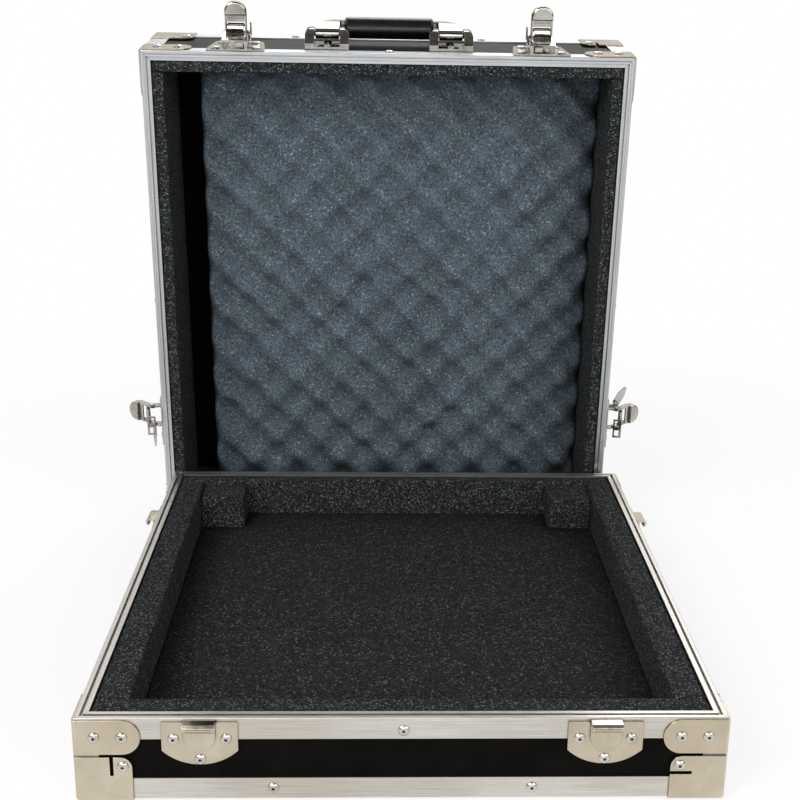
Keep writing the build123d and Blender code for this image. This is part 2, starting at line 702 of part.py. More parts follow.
def lid_nodes():
    """The lid, in its own frame: rim at z = 0, open side up, the carrying wall at the far side."""
    height = lid_height
    nodes = boards("lid", height)
    nodes["lid_carrying_board"] = nodes.pop("lid_rear_board")
    nodes["lid_standing_board"] = nodes.pop("lid_front_board")
    nodes["lid_top_board"] = nodes.pop("lid_floor_board")
    nodes["lid_rim_profiles"] = rim_profiles(True)
    nodes["lid_edge_profiles"] = edge_profiles(height)
    nodes["lid_corner_angles"] = corner_angles(height)
    nodes["lid_rim_corners"] = rim_corners()
    nodes["lid_low_corners"] = low_corners(height)
    pads, fixings = feet("front", height)
    nodes["lid_feet"] = pads
    rivets = corner_rivets(height) + profile_rivets(height) + fixings
    wide = half_width - rim_width
    near = rim_width
    far = case_depth - rim_width
    low = -height + metal + board
    top = -foam_drop
    wall = lid_foam_wall
    nodes["lid_foam_carrying"] = block(-wide, wide, far - wall, far, low, top)
    nodes["lid_foam_standing"] = block(-wide, wide, near, near + wall, low, top)
    nodes["lid_foam_left"] = block(-wide, -wide + wall, near + wall, far - wall, low, top)
    nodes["lid_foam_right"] = block(wide - wall, wide, near + wall, far - wall, low, top)
    nodes["lid_egg_crate_foam"] = egg_crate(low)
    stubs = []
    for name, (side, along, opened, kind, mirrored) in LATCHES.items():
        frame = latch_frame(side, along)
        nodes["latch_plate_" + name] = frame * latch_plate(kind, mirrored)
        stubs += [frame * s for s in pivot_rivets()]
        rivets += [frame * Pos(x, y, sheet) * RIVET for x, y in LATCH_RIVETS]
        nodes["latch_lever_" + name] = lever_place(side, along, opened) * lever()
        nodes["latch_hook_" + name] = hook_place(side, along, opened) * draw_hook()
    nodes["latch_pivot_rivets"] = stubs
    handle_frame = wall_plane("rear", 0, -handle_setback).location
    pins = []
    for name, mark in (("left", -1), ("right", 1)):
        seat = handle_frame * Pos(-mark * bracket_centre, 0, 0)
        nodes["handle_bracket_" + name] = seat * handle_bracket()
        pins.append(seat * Pos(0, 0, handle_pin_height) * Rot(0, 90, 0) * Cylinder(handle_pin, bracket_width - 4))
        for y in (-1, 1):
            fixing = Pos(0, y * (bracket_depth / 2 - 5), bracket_base)
            rivets.append(seat * fixing * RIVET)
    nodes["handle_pins"] = pins
    nodes["lid_rivets"] = rivets
    nodes["handle_bail"] = handle_place() * handle_bail()
    nodes["handle_grip"] = handle_place() * handle_grip()
    return nodes


def egg_crate(low):
    """Egg-crate foam on the top board, as thick as its peaks, short of the left wall."""
    wide = half_width - rim_width - lid_foam_wall - crate_edge_gap
    near = rim_width + lid_foam_wall + crate_edge_gap
    left = -wide + crate_left_gap
    return block(left, wide, near, case_depth - near, low, low + crate_thickness)


def as_list(shape):
    """The separate solids of a node."""
    if isinstance(shape, list):
        return [solid for item in shape for solid in as_list(item)]
    return list(shape.solids())


base_place = Location((0, 0, sheet + base_height))
placed = {}
for name, shape in base_nodes().items():
    placed[name] = [base_place * solid for solid in as_list(shape)]

# The lid stands on its rear wall, lowered until it meets the floor.
tilt = Location((lid_shift, case_depth + lid_gap, 0), (90 + lean, 0, 0))
tilted = {name: [tilt * solid for solid in as_list(shape)] for name, shape in lid_nodes().items()}
lid_low = min(solid.bounding_box().min.Z for solids in tilted.values() for solid in solids)
lid_place = Location((0, 0, -lid_low)) * tilt
for name, solids in tilted.items():
    placed[name] = [Location((0, 0, -lid_low)) * solid for solid in solids]

# The origin is on the floor, under the middle of the whole object.
bounds = Compound([solid for solids in placed.values() for solid in solids]).bounding_box()
to_origin = Location((-(bounds.min.X + bounds.max.X) / 2, -(bounds.min.Y + bounds.max.Y) / 2, -bounds.min.Z))

os.makedirs("parts", exist_ok=True)
for name, solids in placed.items():
    moved = [to_origin * solid for solid in solids]
    export_step(Compound(children=moved), f"parts/{name}.step")

print(f"{len(placed)} nodes, lean {lean:.2f} degrees, lid gap {lid_gap:.2f} mm")
print(f"overall {bounds.size.X:.1f} x {bounds.size.Y:.1f} x {bounds.size.Z:.1f}, lowest {bounds.min.Z:.3f}")
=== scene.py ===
import json
import math

import bmesh
import bpy
from mathutils import Matrix, Vector, noise


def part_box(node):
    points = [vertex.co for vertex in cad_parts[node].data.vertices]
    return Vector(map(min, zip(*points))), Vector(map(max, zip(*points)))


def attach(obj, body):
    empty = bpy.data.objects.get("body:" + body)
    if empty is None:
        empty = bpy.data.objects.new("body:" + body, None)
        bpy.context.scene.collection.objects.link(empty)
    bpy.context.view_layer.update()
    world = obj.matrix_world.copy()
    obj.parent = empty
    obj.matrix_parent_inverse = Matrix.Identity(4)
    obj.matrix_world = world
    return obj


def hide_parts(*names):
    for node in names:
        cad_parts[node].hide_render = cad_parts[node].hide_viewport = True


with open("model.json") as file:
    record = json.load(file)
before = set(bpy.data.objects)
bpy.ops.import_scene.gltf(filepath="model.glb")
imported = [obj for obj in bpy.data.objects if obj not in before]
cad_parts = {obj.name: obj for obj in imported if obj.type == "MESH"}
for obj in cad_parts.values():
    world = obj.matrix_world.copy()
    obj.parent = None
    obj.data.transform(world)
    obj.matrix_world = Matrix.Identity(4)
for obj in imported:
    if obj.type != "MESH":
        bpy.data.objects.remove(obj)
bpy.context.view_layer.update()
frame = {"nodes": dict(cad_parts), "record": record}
MM = 0.001

# Sizes of the case, in millimetres, as in the part's source.
CASE_WIDTH = 500.0
CASE_DEPTH = 536.0
BASE_HEIGHT = 70.0
LID_HEIGHT = 114.0
METAL = 1.5
BOARD = 7.0
RIM = BOARD + 2 * METAL
HALF = CASE_WIDTH / 2
FOAM_DROP = 2.0
BASE_FOAM_SIDE = 26.0
BASE_FOAM_FRONT = 24.0
BASE_FOAM_REAR = 12.0
BASE_FOAM_FLOOR = 21.0
BLOCK_WIDTH = 47.0
BLOCK_DEPTH = 44.0
BLOCK_DROP = 4.0
LID_FOAM = 12.0
CRATE_THICKNESS = 36.0
CRATE_LEFT_GAP = 27.0
CRATE_PITCH = 52.0
GAP = 0.3

# Above this height in the lid's frame, just under its inner face, the top board is bare.
LINED_FROM = -LID_HEIGHT + METAL + BOARD * 0.9

# Cut foam's skin, in millimetres: the grid's steps, the reach of its worn edges, the sizes of its swells and
# grain, how uneven it is, and how far it stays back from its outline.
FLOOR_PAD_STEP = 9.0
TRAY_PAD_STEP = 6.0
LID_PAD_STEP = 7.0
TRAY_PAD_EDGE = 2.2
LID_PAD_EDGE = 1.8
SKIN_SWELL = 9.0
SKIN_GRAIN = 2.6
SKIN_ROUGH = 0.5
SKIN_BACK = 0.05

# The egg-crate foam's surface, in millimetres: its valleys, how far its ridges wander, the nicks along its
# cut right edge, its grid, its worn outline, its skin, and how far it stays back above and below.
CRATE_VALLEY = 23.0
CRATE_WANDER = 9.0
CRATE_NICK = 12.0
CRATE_NICK_REACH = 15.0
CRATE_CELL = 3.4
CRATE_EDGE_DROP = 2.5
CRATE_EDGE_REACH = 3.0
CRATE_SKIN = 0.5
CRATE_BACK = 0.4
CRATE_UNDER = 0.1

# Shares of the egg-crate foam's waves: one slanting ridge's share over the other's and how that changes
# across the foam, how full the peaks are, how unevenly they are worn, and how much of the height they use.
CRATE_STREAK = 0.62
CRATE_STREAK_CHANGE = 0.16
CRATE_FULL = 0.90
CRATE_WORN = 0.35
CRATE_SWING = 0.97

# The photograph's camera: its place from the tray's front in millimetres, its turns in degrees, and the focal
# length, the middle of the lens and the picture's width in pixels.
CAMERA_FROM_TRAY = (-21.1, -906.1, 607.8)
CAMERA_YAW = -2.19
CAMERA_PITCH = 17.46
CAMERA_ROLL = 1.05
FOCAL_PIXELS = 1347.9
LENS_CENTRE = (427.5, 403.2)
PICTURE_PIXELS = 800
SENSOR_WIDTH = 36.0

# The floor, in millimetres: its size, how far it lies below the case, and the distances from the case's
# middle between which it runs out to white, from a share that is white already.
FLOOR_SIZE = 12000.0
FLOOR_DROP = 0.5
FLOOR_NEAR = 550.0
FLOOR_FAR = 1300.0
FLOOR_NEAR_WHITE = 0.80

joints = {j["name"]: j for j in frame["record"]["behaviour"]["joints"]}
LEAN = math.asin(joints["lever_side_left_turn"]["axis"][1])
board_low, board_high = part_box("base_floor_board")
BASE_AT = Matrix.Translation(((board_low.x + board_high.x) / 2, board_low.y - (METAL + BOARD) * MM,
                              board_low.z + (BASE_HEIGHT - METAL) * MM))
LID_AT = Matrix.Translation(joints["lid_lift"]["pos_m"]) @ Matrix.Rotation(math.pi / 2 + LEAN, 4, "X")


# Materials

def linear(hex_colour):
    """An sRGB hex colour as linear red, green, blue and alpha."""
    values = [int(hex_colour[i:i + 2], 16) / 255 for i in (1, 3, 5)]
    return [v / 12.92 if v <= 0.04045 else ((v + 0.055) / 1.055) ** 2.4 for v in values] + [1.0]


def add(tree, kind, settings=None, stops=None, **inputs):
    """Adds a node with its settings and links, and a colour ramp's stops as places and hex colours.

    An input is a value, a node whose first output is linked, or an output. Its key is its name, or i and its
    number where inputs share a name.
    """
    made = tree.nodes.new(kind)
    for key, value in (settings or {}).items():
        setattr(made, key, value)
    if stops:
        elements = made.color_ramp.elements
        while len(elements) < len(stops):
            elements.new(0.5)
        for element, (position, colour) in zip(elements, stops):
            element.position = position
            element.color = linear(colour)
    for key, value in inputs.items():
        numbered = key[0] == "i" and key[1:].isdigit()
        socket = made.inputs[int(key[1:]) if numbered else key.replace("_", " ")]
        if isinstance(value, bpy.types.Node):
            value = value.outputs[0]
        if isinstance(value, bpy.types.NodeSocket):
            tree.links.new(value, socket)
        else:
            socket.default_value = value
    return made


def start(name):
    """A material, its empty node tree, and the place on the case in millimetres."""
    material = bpy.data.materials.new(name)
    material.use_nodes = True
    tree = material.node_tree
    tree.nodes.clear()
    metres = add(tree, "ShaderNodeTexCoord").outputs["Object"]
    place = add(tree, "ShaderNodeVectorMath", {"operation": "SCALE"}, Vector=metres, Scale=1000.0)
    return material, tree, place


def place_in_half(tree, place, at):
    """The place in the tray's or lid's own frame, in millimetres, as x, y and z."""
    inverse = at.inverted()
    local = add(tree, "ShaderNodeMapping", Vector=place, Location=inverse.to_translation() * 1000,
                Rotation=inverse.to_euler())
    return add(tree, "ShaderNodeSeparateXYZ", Vector=local).outputs


def painted_hollow_shade(tree, colour, reach):
    """Paints shade into a colour in holes, grooves and where pieces meet, within a reach in millimetres."""
    nearby = add(tree, "ShaderNodeAmbientOcclusion", {"samples": 8}, Distance=reach * MM)
    unshaded = add(tree, "ShaderNodeValToRGB", stops=[(0.30, "#000000"), (0.80, "#ffffff")],
                i0=nearby.outputs["AO"])
    mixed = add(tree, "ShaderNodeMix", {"data_type": "RGBA"}, Factor=unshaded, i6=linear("#14120f"), i7=colour)
    return mixed.outputs[2]


def foam_material(name, ground, cell, fleck, fleck_share, bright, grain, size, hollows=0.0):
    """Open-cell foam, cut with a blade: dark pits, and pale flecks where cell walls catch the light.

    fleck_share is the share of cells with a fleck and bright its strength. grain and size are the pits' and
    cells' sizes in millimetres, drawn coarser than real cells so that they show. hollows is the reach, in
    millimetres, within which painted shade darkens hollows and the foam near walls, or 0.
    """
    material, tree, place = start(name)
    cells = add(tree, "ShaderNodeTexVoronoi", {"feature": "F1"}, Vector=place, Scale=1 / size, Randomness=1.0)
    fine = add(tree, "ShaderNodeTexNoise", Vector=place, Scale=1 / grain, Detail=4.0, Roughness=0.75)
    broad = add(tree, "ShaderNodeTexNoise", Vector=place, Scale=1 / 30.0, Detail=3.0, Roughness=0.55)
    tone = add(tree, "ShaderNodeValToRGB", stops=[(0.38, ground), (0.62, cell)], i0=fine)
    patch = add(tree, "ShaderNodeMapRange", Value=broad, To_Min=0.80, To_Max=1.20)
    toned = add(tree, "ShaderNodeVectorMath", {"operation": "SCALE"}, Vector=tone, Scale=patch)

    spots = add(tree, "ShaderNodeTexWhiteNoise", {"noise_dimensions": "3D"}, Vector=cells.outputs["Position"])
    chosen = add(tree, "ShaderNodeMath", {"operation": "GREATER_THAN"}, i0=spots, i1=1 - fleck_share)
    middle = add(tree, "ShaderNodeValToRGB", stops=[(0.10, "#ffffff"), (0.65, "#000000")],
                 i0=cells.outputs["Distance"])
    dots = add(tree, "ShaderNodeMath", {"operation": "MULTIPLY"}, i0=chosen, i1=middle)
    chance = add(tree, "ShaderNodeTexWhiteNoise", {"noise_dimensions": "3D"}, Vector=spots.outputs["Color"])
    strength = add(tree, "ShaderNodeMapRange", Value=chance, To_Min=bright * 0.15, To_Max=bright)
    shade = add(tree, "ShaderNodeMath", {"operation": "MULTIPLY"}, i0=dots, i1=strength)
    colour = add(tree, "ShaderNodeMix", {"data_type": "RGBA"}, Factor=shade, i6=toned, i7=linear(fleck))

    # Painted shade: the colour darkens in hollows and near walls.
    if hollows:
        nearby = add(tree, "ShaderNodeAmbientOcclusion", {"samples": 8}, Distance=hollows * MM)
        lit = add(tree, "ShaderNodeValToRGB", stops=[(0.58, "#a4a4a4"), (0.98, "#ffffff")],
                  i0=nearby.outputs["AO"])
        colour = add(tree, "ShaderNodeMix", {"data_type": "RGBA", "blend_type": "MULTIPLY"}, Factor=1.0,
                     i6=colour.outputs[2], i7=lit)
    pits = add(tree, "ShaderNodeMath", {"operation": "ADD"}, i0=cells.outputs["Distance"], i1=fine)
    bump = add(tree, "ShaderNodeBump", Strength=0.45, Distance=0.9 * MM, Height=pits)
    shader = add(tree, "ShaderNodeBsdfPrincipled", Base_Color=colour.outputs[2], Roughness=0.95,
                 Specular_IOR_Level=0.2, Normal=bump)
    add(tree, "ShaderNodeOutputMaterial", Surface=shader)
    return material


def profile_material(name, at, dark, tone):
    """Extruded aluminium, satin: fine die lines along each length, handling marks and soft dulling.

    The lines follow each side of the case, and are drawn coarser than real ones so that they show.
    """
    material, tree, place = start(name)
    x, y, z = place_in_half(tree, place, at)
    side = add(tree, "ShaderNodeMath", {"operation": "ABSOLUTE"}, i0=x)
    centred = add(tree, "ShaderNodeMath", {"operation": "SUBTRACT"}, i0=y, i1=CASE_DEPTH / 2)
    end = add(tree, "ShaderNodeMath", {"operation": "ABSOLUTE"}, i0=centred)
    reach = add(tree, "ShaderNodeMath", {"operation": "SUBTRACT"}, i0=end, i1=(CASE_DEPTH - CASE_WIDTH) / 2)
    on_side = add(tree, "ShaderNodeMath", {"operation": "GREATER_THAN"}, i0=side, i1=reach)
    across = add(tree, "ShaderNodeMix", {"data_type": "FLOAT"}, Factor=on_side, i2=y, i3=x)
    along = add(tree, "ShaderNodeMix", {"data_type": "FLOAT"}, Factor=on_side, i2=x, i3=y)
    drawn_out = add(tree, "ShaderNodeMath", {"operation": "MULTIPLY"}, i0=along, i1=0.012)
    lines_at = add(tree, "ShaderNodeCombineXYZ", X=across, Y=z, Z=drawn_out)
    lines = add(tree, "ShaderNodeTexNoise", Vector=lines_at, Scale=1 / 0.7, Detail=4.0, Roughness=0.6)
    marks = add(tree, "ShaderNodeTexNoise", Vector=place, Scale=1 / 9.0, Detail=5.0, Roughness=0.65)

    tint = add(tree, "ShaderNodeValToRGB", stops=[(0.3, dark), (0.7, tone)], i0=lines)
    dulled = add(tree, "ShaderNodeMapRange", Value=marks, To_Min=0.0, To_Max=0.22)
    dull = add(tree, "ShaderNodeMix", {"data_type": "RGBA"}, Factor=dulled, i6=tint, i7=linear("#9c9c98"))
    rough = add(tree, "ShaderNodeMapRange", Value=marks, To_Min=0.24, To_Max=0.46)
    bump = add(tree, "ShaderNodeBump", Strength=0.12, Distance=0.3 * MM, Height=lines)
    # The base colour carries painted shade in its grooves and where pieces meet.
    shader = add(tree, "ShaderNodeBsdfPrincipled", Base_Color=painted_hollow_shade(tree, dull.outputs[2], 2.5),
                 Metallic=1.0, Roughness=rough, Normal=bump)
    add(tree, "ShaderNodeOutputMaterial", Surface=shader)
    return material


def plated_material(name, tone, dark, low, high, waves, reach):
    """Plated pressed steel: polished, a little wavy from the press, with worn edges, smears and scratches.

    low and high bound its roughness, waves is the strength of the press's waves, and reach that of the
    painted shade in its holes and grooves in millimetres. The scratches are drawn coarser than real ones so
    that they show.
    """
    material, tree, place = start(name)
    smear = add(tree, "ShaderNodeTexNoise", Vector=place, Scale=1 / 24.0, Detail=5.0, Roughness=0.6)
    swell = add(tree, "ShaderNodeTexNoise", Vector=place, Scale=1 / 15.0, Detail=1.0, Roughness=0.4)
    stretched = add(tree, "ShaderNodeMapping", Vector=place, Scale=(1.0, 0.06, 1.0), Rotation=(0.3, 0.5, 0.7))
    scratches = add(tree, "ShaderNodeTexNoise", Vector=stretched, Scale=1 / 0.35, Detail=2.0, Roughness=0.5)
    tint = add(tree, "ShaderNodeValToRGB", stops=[(0.30, dark), (0.70, tone)], i0=smear)
    worn = add(tree, "ShaderNodeMath", {"operation": "MULTIPLY"}, i0=smear, i1=scratches)
    rough = add(tree, "ShaderNodeMapRange", Value=worn, To_Min=low, To_Max=high)
    worn_edge = add(tree, "ShaderNodeBevel", {"samples": 4}, Radius=0.5 * MM)
    fine = add(tree, "ShaderNodeBump", Strength=0.04, Distance=0.2 * MM, Height=scratches, Normal=worn_edge)
    bump = add(tree, "ShaderNodeBump", Strength=waves, Distance=1.2 * MM, Height=swell, Normal=fine)
    # The base colour carries painted shade in holes, grooves and where pieces meet.
    shader = add(tree, "ShaderNodeBsdfPrincipled", Base_Color=painted_hollow_shade(tree, tint, reach), Metallic=1.0,
                 Roughness=rough, Normal=bump)
    add(tree, "ShaderNodeOutputMaterial", Surface=shader)
    return material


def laminate_material(name, gloss, lined_from=None):
    """Black laminate on plywood: a fine pebbled skin with faint dust.

    Above a height in the lid's frame, in millimetres, the board is bare and matt.
    """
    material, tree, place = start(name)
    pebble = add(tree, "ShaderNodeTexNoise", Vector=place, Scale=1 / 1.1, Detail=2.0, Roughness=0.5)
    dust = add(tree, "ShaderNodeTexNoise", Vector=place, Scale=1 / 30.0, Detail=5.0, Roughness=0.62)
    skin = add(tree, "ShaderNodeValToRGB", stops=[(0.35, "#060605"), (0.75, "#0e0d0b")], i0=dust).outputs[0]
    rough = add(tree, "ShaderNodeMapRange", Value=dust, To_Min=0.34, To_Max=0.50)
    if lined_from is not None:
        height = place_in_half(tree, place, LID_AT)["Z"]
        inside = add(tree, "ShaderNodeMath", {"operation": "GREATER_THAN"}, i0=height, i1=lined_from)
        skin = add(tree, "ShaderNodeMix", {"data_type": "RGBA"}, Factor=inside, i6=skin,
                   i7=linear("#050505")).outputs[2]
        rough = add(tree, "ShaderNodeMix", {"data_type": "FLOAT"}, Factor=inside, i2=rough, i3=1.0)
    bump = add(tree, "ShaderNodeBump", Strength=0.10, Distance=0.3 * MM, Height=pebble)
    shader = add(tree, "ShaderNodeBsdfPrincipled", Base_Color=skin, Roughness=rough, Specular_IOR_Level=gloss,
                 Normal=bump)
    add(tree, "ShaderNodeOutputMaterial", Surface=shader)
    return material


def rubber_material(name, dark, pale, low, high, grain):
    """Moulded rubber or plastic: a fine grain and a slight bloom. low and high bound its roughness."""
    material, tree, place = start(name)
    bloom = add(tree, "ShaderNodeTexNoise", Vector=place, Scale=1 / 12.0, Detail=4.0, Roughness=0.6)
    skin = add(tree, "ShaderNodeTexNoise", Vector=place, Scale=1 / 0.5, Detail=2.0, Roughness=0.5)
    tint = add(tree, "ShaderNodeValToRGB", stops=[(0.3, dark), (0.75, pale)], i0=bloom)
    rough = add(tree, "ShaderNodeMapRange", Value=bloom, To_Min=low, To_Max=high)
    bump = add(tree, "ShaderNodeBump", Strength=grain, Distance=0.3 * MM, Height=skin)
    shader = add(tree, "ShaderNodeBsdfPrincipled", Base_Color=tint, Roughness=rough, Normal=bump)
    add(tree, "ShaderNodeOutputMaterial", Surface=shader)
    return material


# Charcoal foam: fine close flecks on the walls, and coarser, sparser ones on the tray's floor, which carries
# painted shade that darkens it towards the walls round it.
FOAM = foam_material("flecked_charcoal_foam", "#020303", "#2c2f30", "#b5b7b6", fleck_share=0.30, bright=0.58,
                     grain=1.9, size=1.35)
FLOOR_FOAM = foam_material("tray_floor_foam", "#020202", "#303335", "#acaeb0", fleck_share=0.18, bright=0.46,
                           grain=2.6, size=1.9, hollows=220.0)
# Blue-grey foam, with painted shade darkening its hollows, which leaves its peaks paler.
CRATE_FOAM = foam_material("egg_crate_foam", "#323b42", "#636f78", "#d2d8dc", fleck_share=0.20, bright=0.40,
                           grain=2.2, size=2.3, hollows=34.0)
# Bare aluminium edging: warm and pale on the tray, and cooler and darker on the lid, where the same metal is
# tinted to paint in the cooler light it reflects.
BASE_ALUMINIUM = profile_material("extruded_aluminium_tray", BASE_AT, "#c6c2bc", "#eeeae3")
LID_ALUMINIUM = profile_material("extruded_aluminium_lid", LID_AT, "#b2b6bb", "#d9dcdf")
# Plated steel: warm on the catches and corners, brighter and wavier on the latches and handle, and dull on
# the rivets. Each has painted shade in its holes, grooves and joins, reaching furthest on the latches and
# handle.
NICKEL = plated_material("nickel_plated_steel", "#d8cfbd", "#c7beac", low=0.08, high=0.28, waves=0.22,
                         reach=4.0)
BRIGHT_NICKEL = plated_material("bright_nickel_hardware", "#cbc9c4", "#a4a29b", low=0.05, high=0.20,
                                waves=0.42, reach=12.0)
CORNER_STEEL = plated_material("pressed_corner_steel", "#d6cbb7", "#c9beaa", low=0.10, high=0.32, waves=0.22,
                               reach=3.0)
RIVET_STEEL = plated_material("zinc_rivet", "#dedbd4", "#c6c2b9", low=0.26, high=0.44, waves=0.03, reach=2.4)
# Laminate: near black with a low gloss, and bare and matt inside the lid.
LAMINATE = laminate_material("black_laminate", gloss=0.04)
TOP_LAMINATE = laminate_material("black_laminate_lined", gloss=0.05, lined_from=LINED_FROM)
# Matt rubber on the feet, and a smoother, glossier moulding on the handle.
FOOT_RUBBER = rubber_material("moulded_rubber", "#0d0d0d", "#1f1f1f", low=0.55, high=0.80, grain=0.35)
GRIP = rubber_material("moulded_grip", "#060607", "#101012", low=0.22, high=0.36, grain=0.10)


def dress(node, material):
    """Gives a CAD node its material in every slot."""
    data = frame["nodes"][node].data
    if not data.materials:
        data.materials.append(material)
    for i in range(len(data.materials)):
        data.materials[i] = material


for node in frame["nodes"]:
    if node == "lid_top_board":
        dress(node, TOP_LAMINATE)
    elif node.endswith("_board"):
        dress(node, LAMINATE)
    elif node.endswith("_profiles") or node.endswith("_angles"):
        dress(node, BASE_ALUMINIUM if node.startswith("base") else LID_ALUMINIUM)
    elif node.endswith("_corners"):
        dress(node, CORNER_STEEL)
    elif node.endswith("rivets"):
        dress(node, RIVET_STEEL)
    elif node.endswith("_feet"):
        dress(node, FOOT_RUBBER)
    elif node == "handle_grip":
        dress(node, GRIP)
    elif node.startswith("catch"):
        dress(node, NICKEL)
    elif "foam" not in node:
        dress(node, BRIGHT_NICKEL)


# Foam pieces

def finish_piece(name, made, at, node, body, material):
    """Turns a bmesh in millimetres into a piece in the case, in place of its CAD node."""
    data = bpy.data.meshes.new(name)
    bmesh.ops.recalc_face_normals(made, faces=made.faces)
    made.to_mesh(data)
    made.free()
    data.transform(at @ Matrix.Diagonal((MM, MM, MM, 1)))
    data.materials.append(material)
    for polygon in data.polygons:
        polygon.use_smooth = True
    piece = bpy.data.objects.new(name, data)
    bpy.context.scene.collection.objects.link(piece)
    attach(piece, body)
    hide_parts(node)


def grid_lines(low, high, step, edge):
    """Positions across a length: close together near both ends, for a rounded edge."""
    near = [0.0, edge * 0.3, edge * 0.75, edge * 1.5]
    inside = max(1, round((high - low - 2 * near[-1]) / step))
    middle = [near[-1] + (high - low - 2 * near[-1]) * i / inside for i in range(inside + 1)]
    steps = near[:-1] + middle + [high - low - n for n in reversed(near[:-1])]
    return [low + s for s in steps]


def snapped(positions, lines):
    """Positions with the nearest one moved to each line."""
    for line in lines:
        nearest = min(range(len(positions)), key=lambda i: abs(positions[i] - line))
        positions[nearest] = line
    return positions


def worn_place(p, limits, edge, seed):
    """A place on a block's grid, drawn in to a rounded edge and a slightly uneven skin."""
    inner = [min(max(p[n], limits[n][0] + edge), limits[n][1] - edge) for n in range(3)]
    away = Vector([p[n] - inner[n] for n in range(3)])
    if sum(abs(c) > 1e-6 for c in away) > 1:
        away = away.normalized() * edge
    at = Vector(inner) + away
    swell = noise.noise(at / SKIN_SWELL + Vector((seed, 0, 0))) * SKIN_ROUGH
    grain = noise.noise(at / SKIN_GRAIN) * SKIN_ROUGH / 2
    if away.length > 0:
        at -= away.normalized() * (abs(swell + grain) + SKIN_BACK)
    return at


def face_corners(fixed, end, i, j):
    """Grid keys of the four corners of a face on a layer across one axis."""
    a, b = [n for n in range(3) if n != fixed]
    keys = []
    for di, dj in ((0, 0), (1, 0), (1, 1), (0, 1)):
        key = [end, end, end]
        key[a] = i + di
        key[b] = j + dj
        keys.append(tuple(key))
    return keys


def in_block(middle, fixed, inner, notch):
    """Whether a face, given by its middle, belongs to a block with a notch in its two far corners."""
    beyond = abs(middle[0]) > notch[0]
    behind = middle[1] > notch[1]
    if inner:
        return behind if fixed == 0 else beyond
    return not (beyond and behind)


def cut_block(x, y, z, step, edge, seed, notch=None):
    """A block of cut foam: a gridded box with worn edges and a slightly uneven skin.

    A notch (across, along) leaves out the two far corners, beyond a distance each side and from a line on.
    """
    axes = [grid_lines(low + GAP * 0.2, high - GAP * 0.2, step, edge) for low, high in (x, y, z)]
    if notch:
        axes[0] = snapped(axes[0], (-notch[0], notch[0]))
        axes[1] = snapped(axes[1], (notch[1],))
    layers = [(fixed, end, False) for fixed in range(3) for end in (0, len(axes[fixed]) - 1)]
    if notch:
        layers += [(0, axes[0].index(side), True) for side in (-notch[0], notch[0])]
        layers.append((1, axes[1].index(notch[1]), True))
    limits = [(a[0], a[-1]) for a in axes]
    made = bmesh.new()
    corners = {}
    for fixed, end, inner in layers:
        a, b = [n for n in range(3) if n != fixed]
        for i in range(len(axes[a]) - 1):
            for j in range(len(axes[b]) - 1):
                keys = face_corners(fixed, end, i, j)
                middle = [sum(axes[n][key[n]] for key in keys) / 4 for n in range(3)]
                if notch and not in_block(middle, fixed, inner, notch):
                    continue
                for key in keys:
                    if key not in corners:
                        place = worn_place([axes[n][key[n]] for n in range(3)], limits, edge, seed)
                        corners[key] = made.verts.new(place)
                made.faces.new([corners[key] for key in keys])
    return made


def drift(px, py, size, layer):
    """Slow noise across the foam, from -1 to 1, with features of a size in millimetres."""
    return noise.noise(Vector((px / size, py / size, layer)))


def crate_rise(px, py, x, y):
    """Height of the convoluted foam at a place inside its outline: staggered peaks, unevenly worn."""
    wander = drift(px, py, 45, 3.0) * CRATE_WANDER
    turn = 2 * math.pi / CRATE_PITCH
    along = math.cos((px + py + wander) * turn)
    across = math.cos((px - py - wander) * turn)
    share = CRATE_STREAK + drift(px, py, 110, 9.0) * CRATE_STREAK_CHANGE
    shaped = share * along + (1 - share) * across
    worn = min(1.0, CRATE_FULL + drift(px, py, 70, 5.0) * CRATE_WORN)
    swing = (CRATE_THICKNESS - CRATE_VALLEY) / 2
    skin = drift(px, py, 6, 0.0) * CRATE_SKIN - CRATE_BACK
    nick = max(0.0, -shaped) * max(0.0, 1 - (x[1] - px) / CRATE_NICK_REACH)
    inset = min(px - x[0], x[1] - px, py - y[0], y[1] - py)
    worn_edge = max(0.0, 1 - inset / CRATE_EDGE_REACH) ** 2
    wave = swing * (1 + shaped * worn) * CRATE_SWING
    return CRATE_VALLEY + wave + skin - nick * CRATE_NICK - worn_edge * CRATE_EDGE_DROP


def egg_crate(x, y, low):
    """Convoluted foam: a gridded top with peaks and valleys, over a flat underside."""
    columns = round((x[1] - x[0]) / CRATE_CELL)
    rows = round((y[1] - y[0]) / CRATE_CELL)
    made = bmesh.new()
    top = []
    bottom = []
    for i in range(columns + 1):
        px = x[0] + (x[1] - x[0]) * i / columns
        across = [y[0] + (y[1] - y[0]) * j / rows for j in range(rows + 1)]
        top.append([made.verts.new((px, py, low + crate_rise(px, py, x, y))) for py in across])
        bottom.append([made.verts.new((px, py, low + CRATE_UNDER)) for py in across])
    for i in range(columns):
        for j in range(rows):
            made.faces.new((top[i][j], top[i + 1][j], top[i + 1][j + 1], top[i][j + 1]))
    outline = [bottom[i][0] for i in range(columns + 1)]
    outline += [bottom[columns][j] for j in range(1, rows + 1)]
    outline += [bottom[i][rows] for i in range(columns - 1, -1, -1)]
    outline += [bottom[0][j] for j in range(rows - 1, 0, -1)]
    made.faces.new(outline)
    for i in range(columns):
        for j in (0, rows):
            made.faces.new((top[i][j], top[i + 1][j], bottom[i + 1][j], bottom[i][j]))
    for j in range(rows):
        for i in (0, columns):
            made.faces.new((top[i][j], top[i][j + 1], bottom[i][j + 1], bottom[i][j]))
    loose = [v for v in made.verts if not v.link_faces]
    bmesh.ops.delete(made, geom=loose, context="VERTS")
    return made


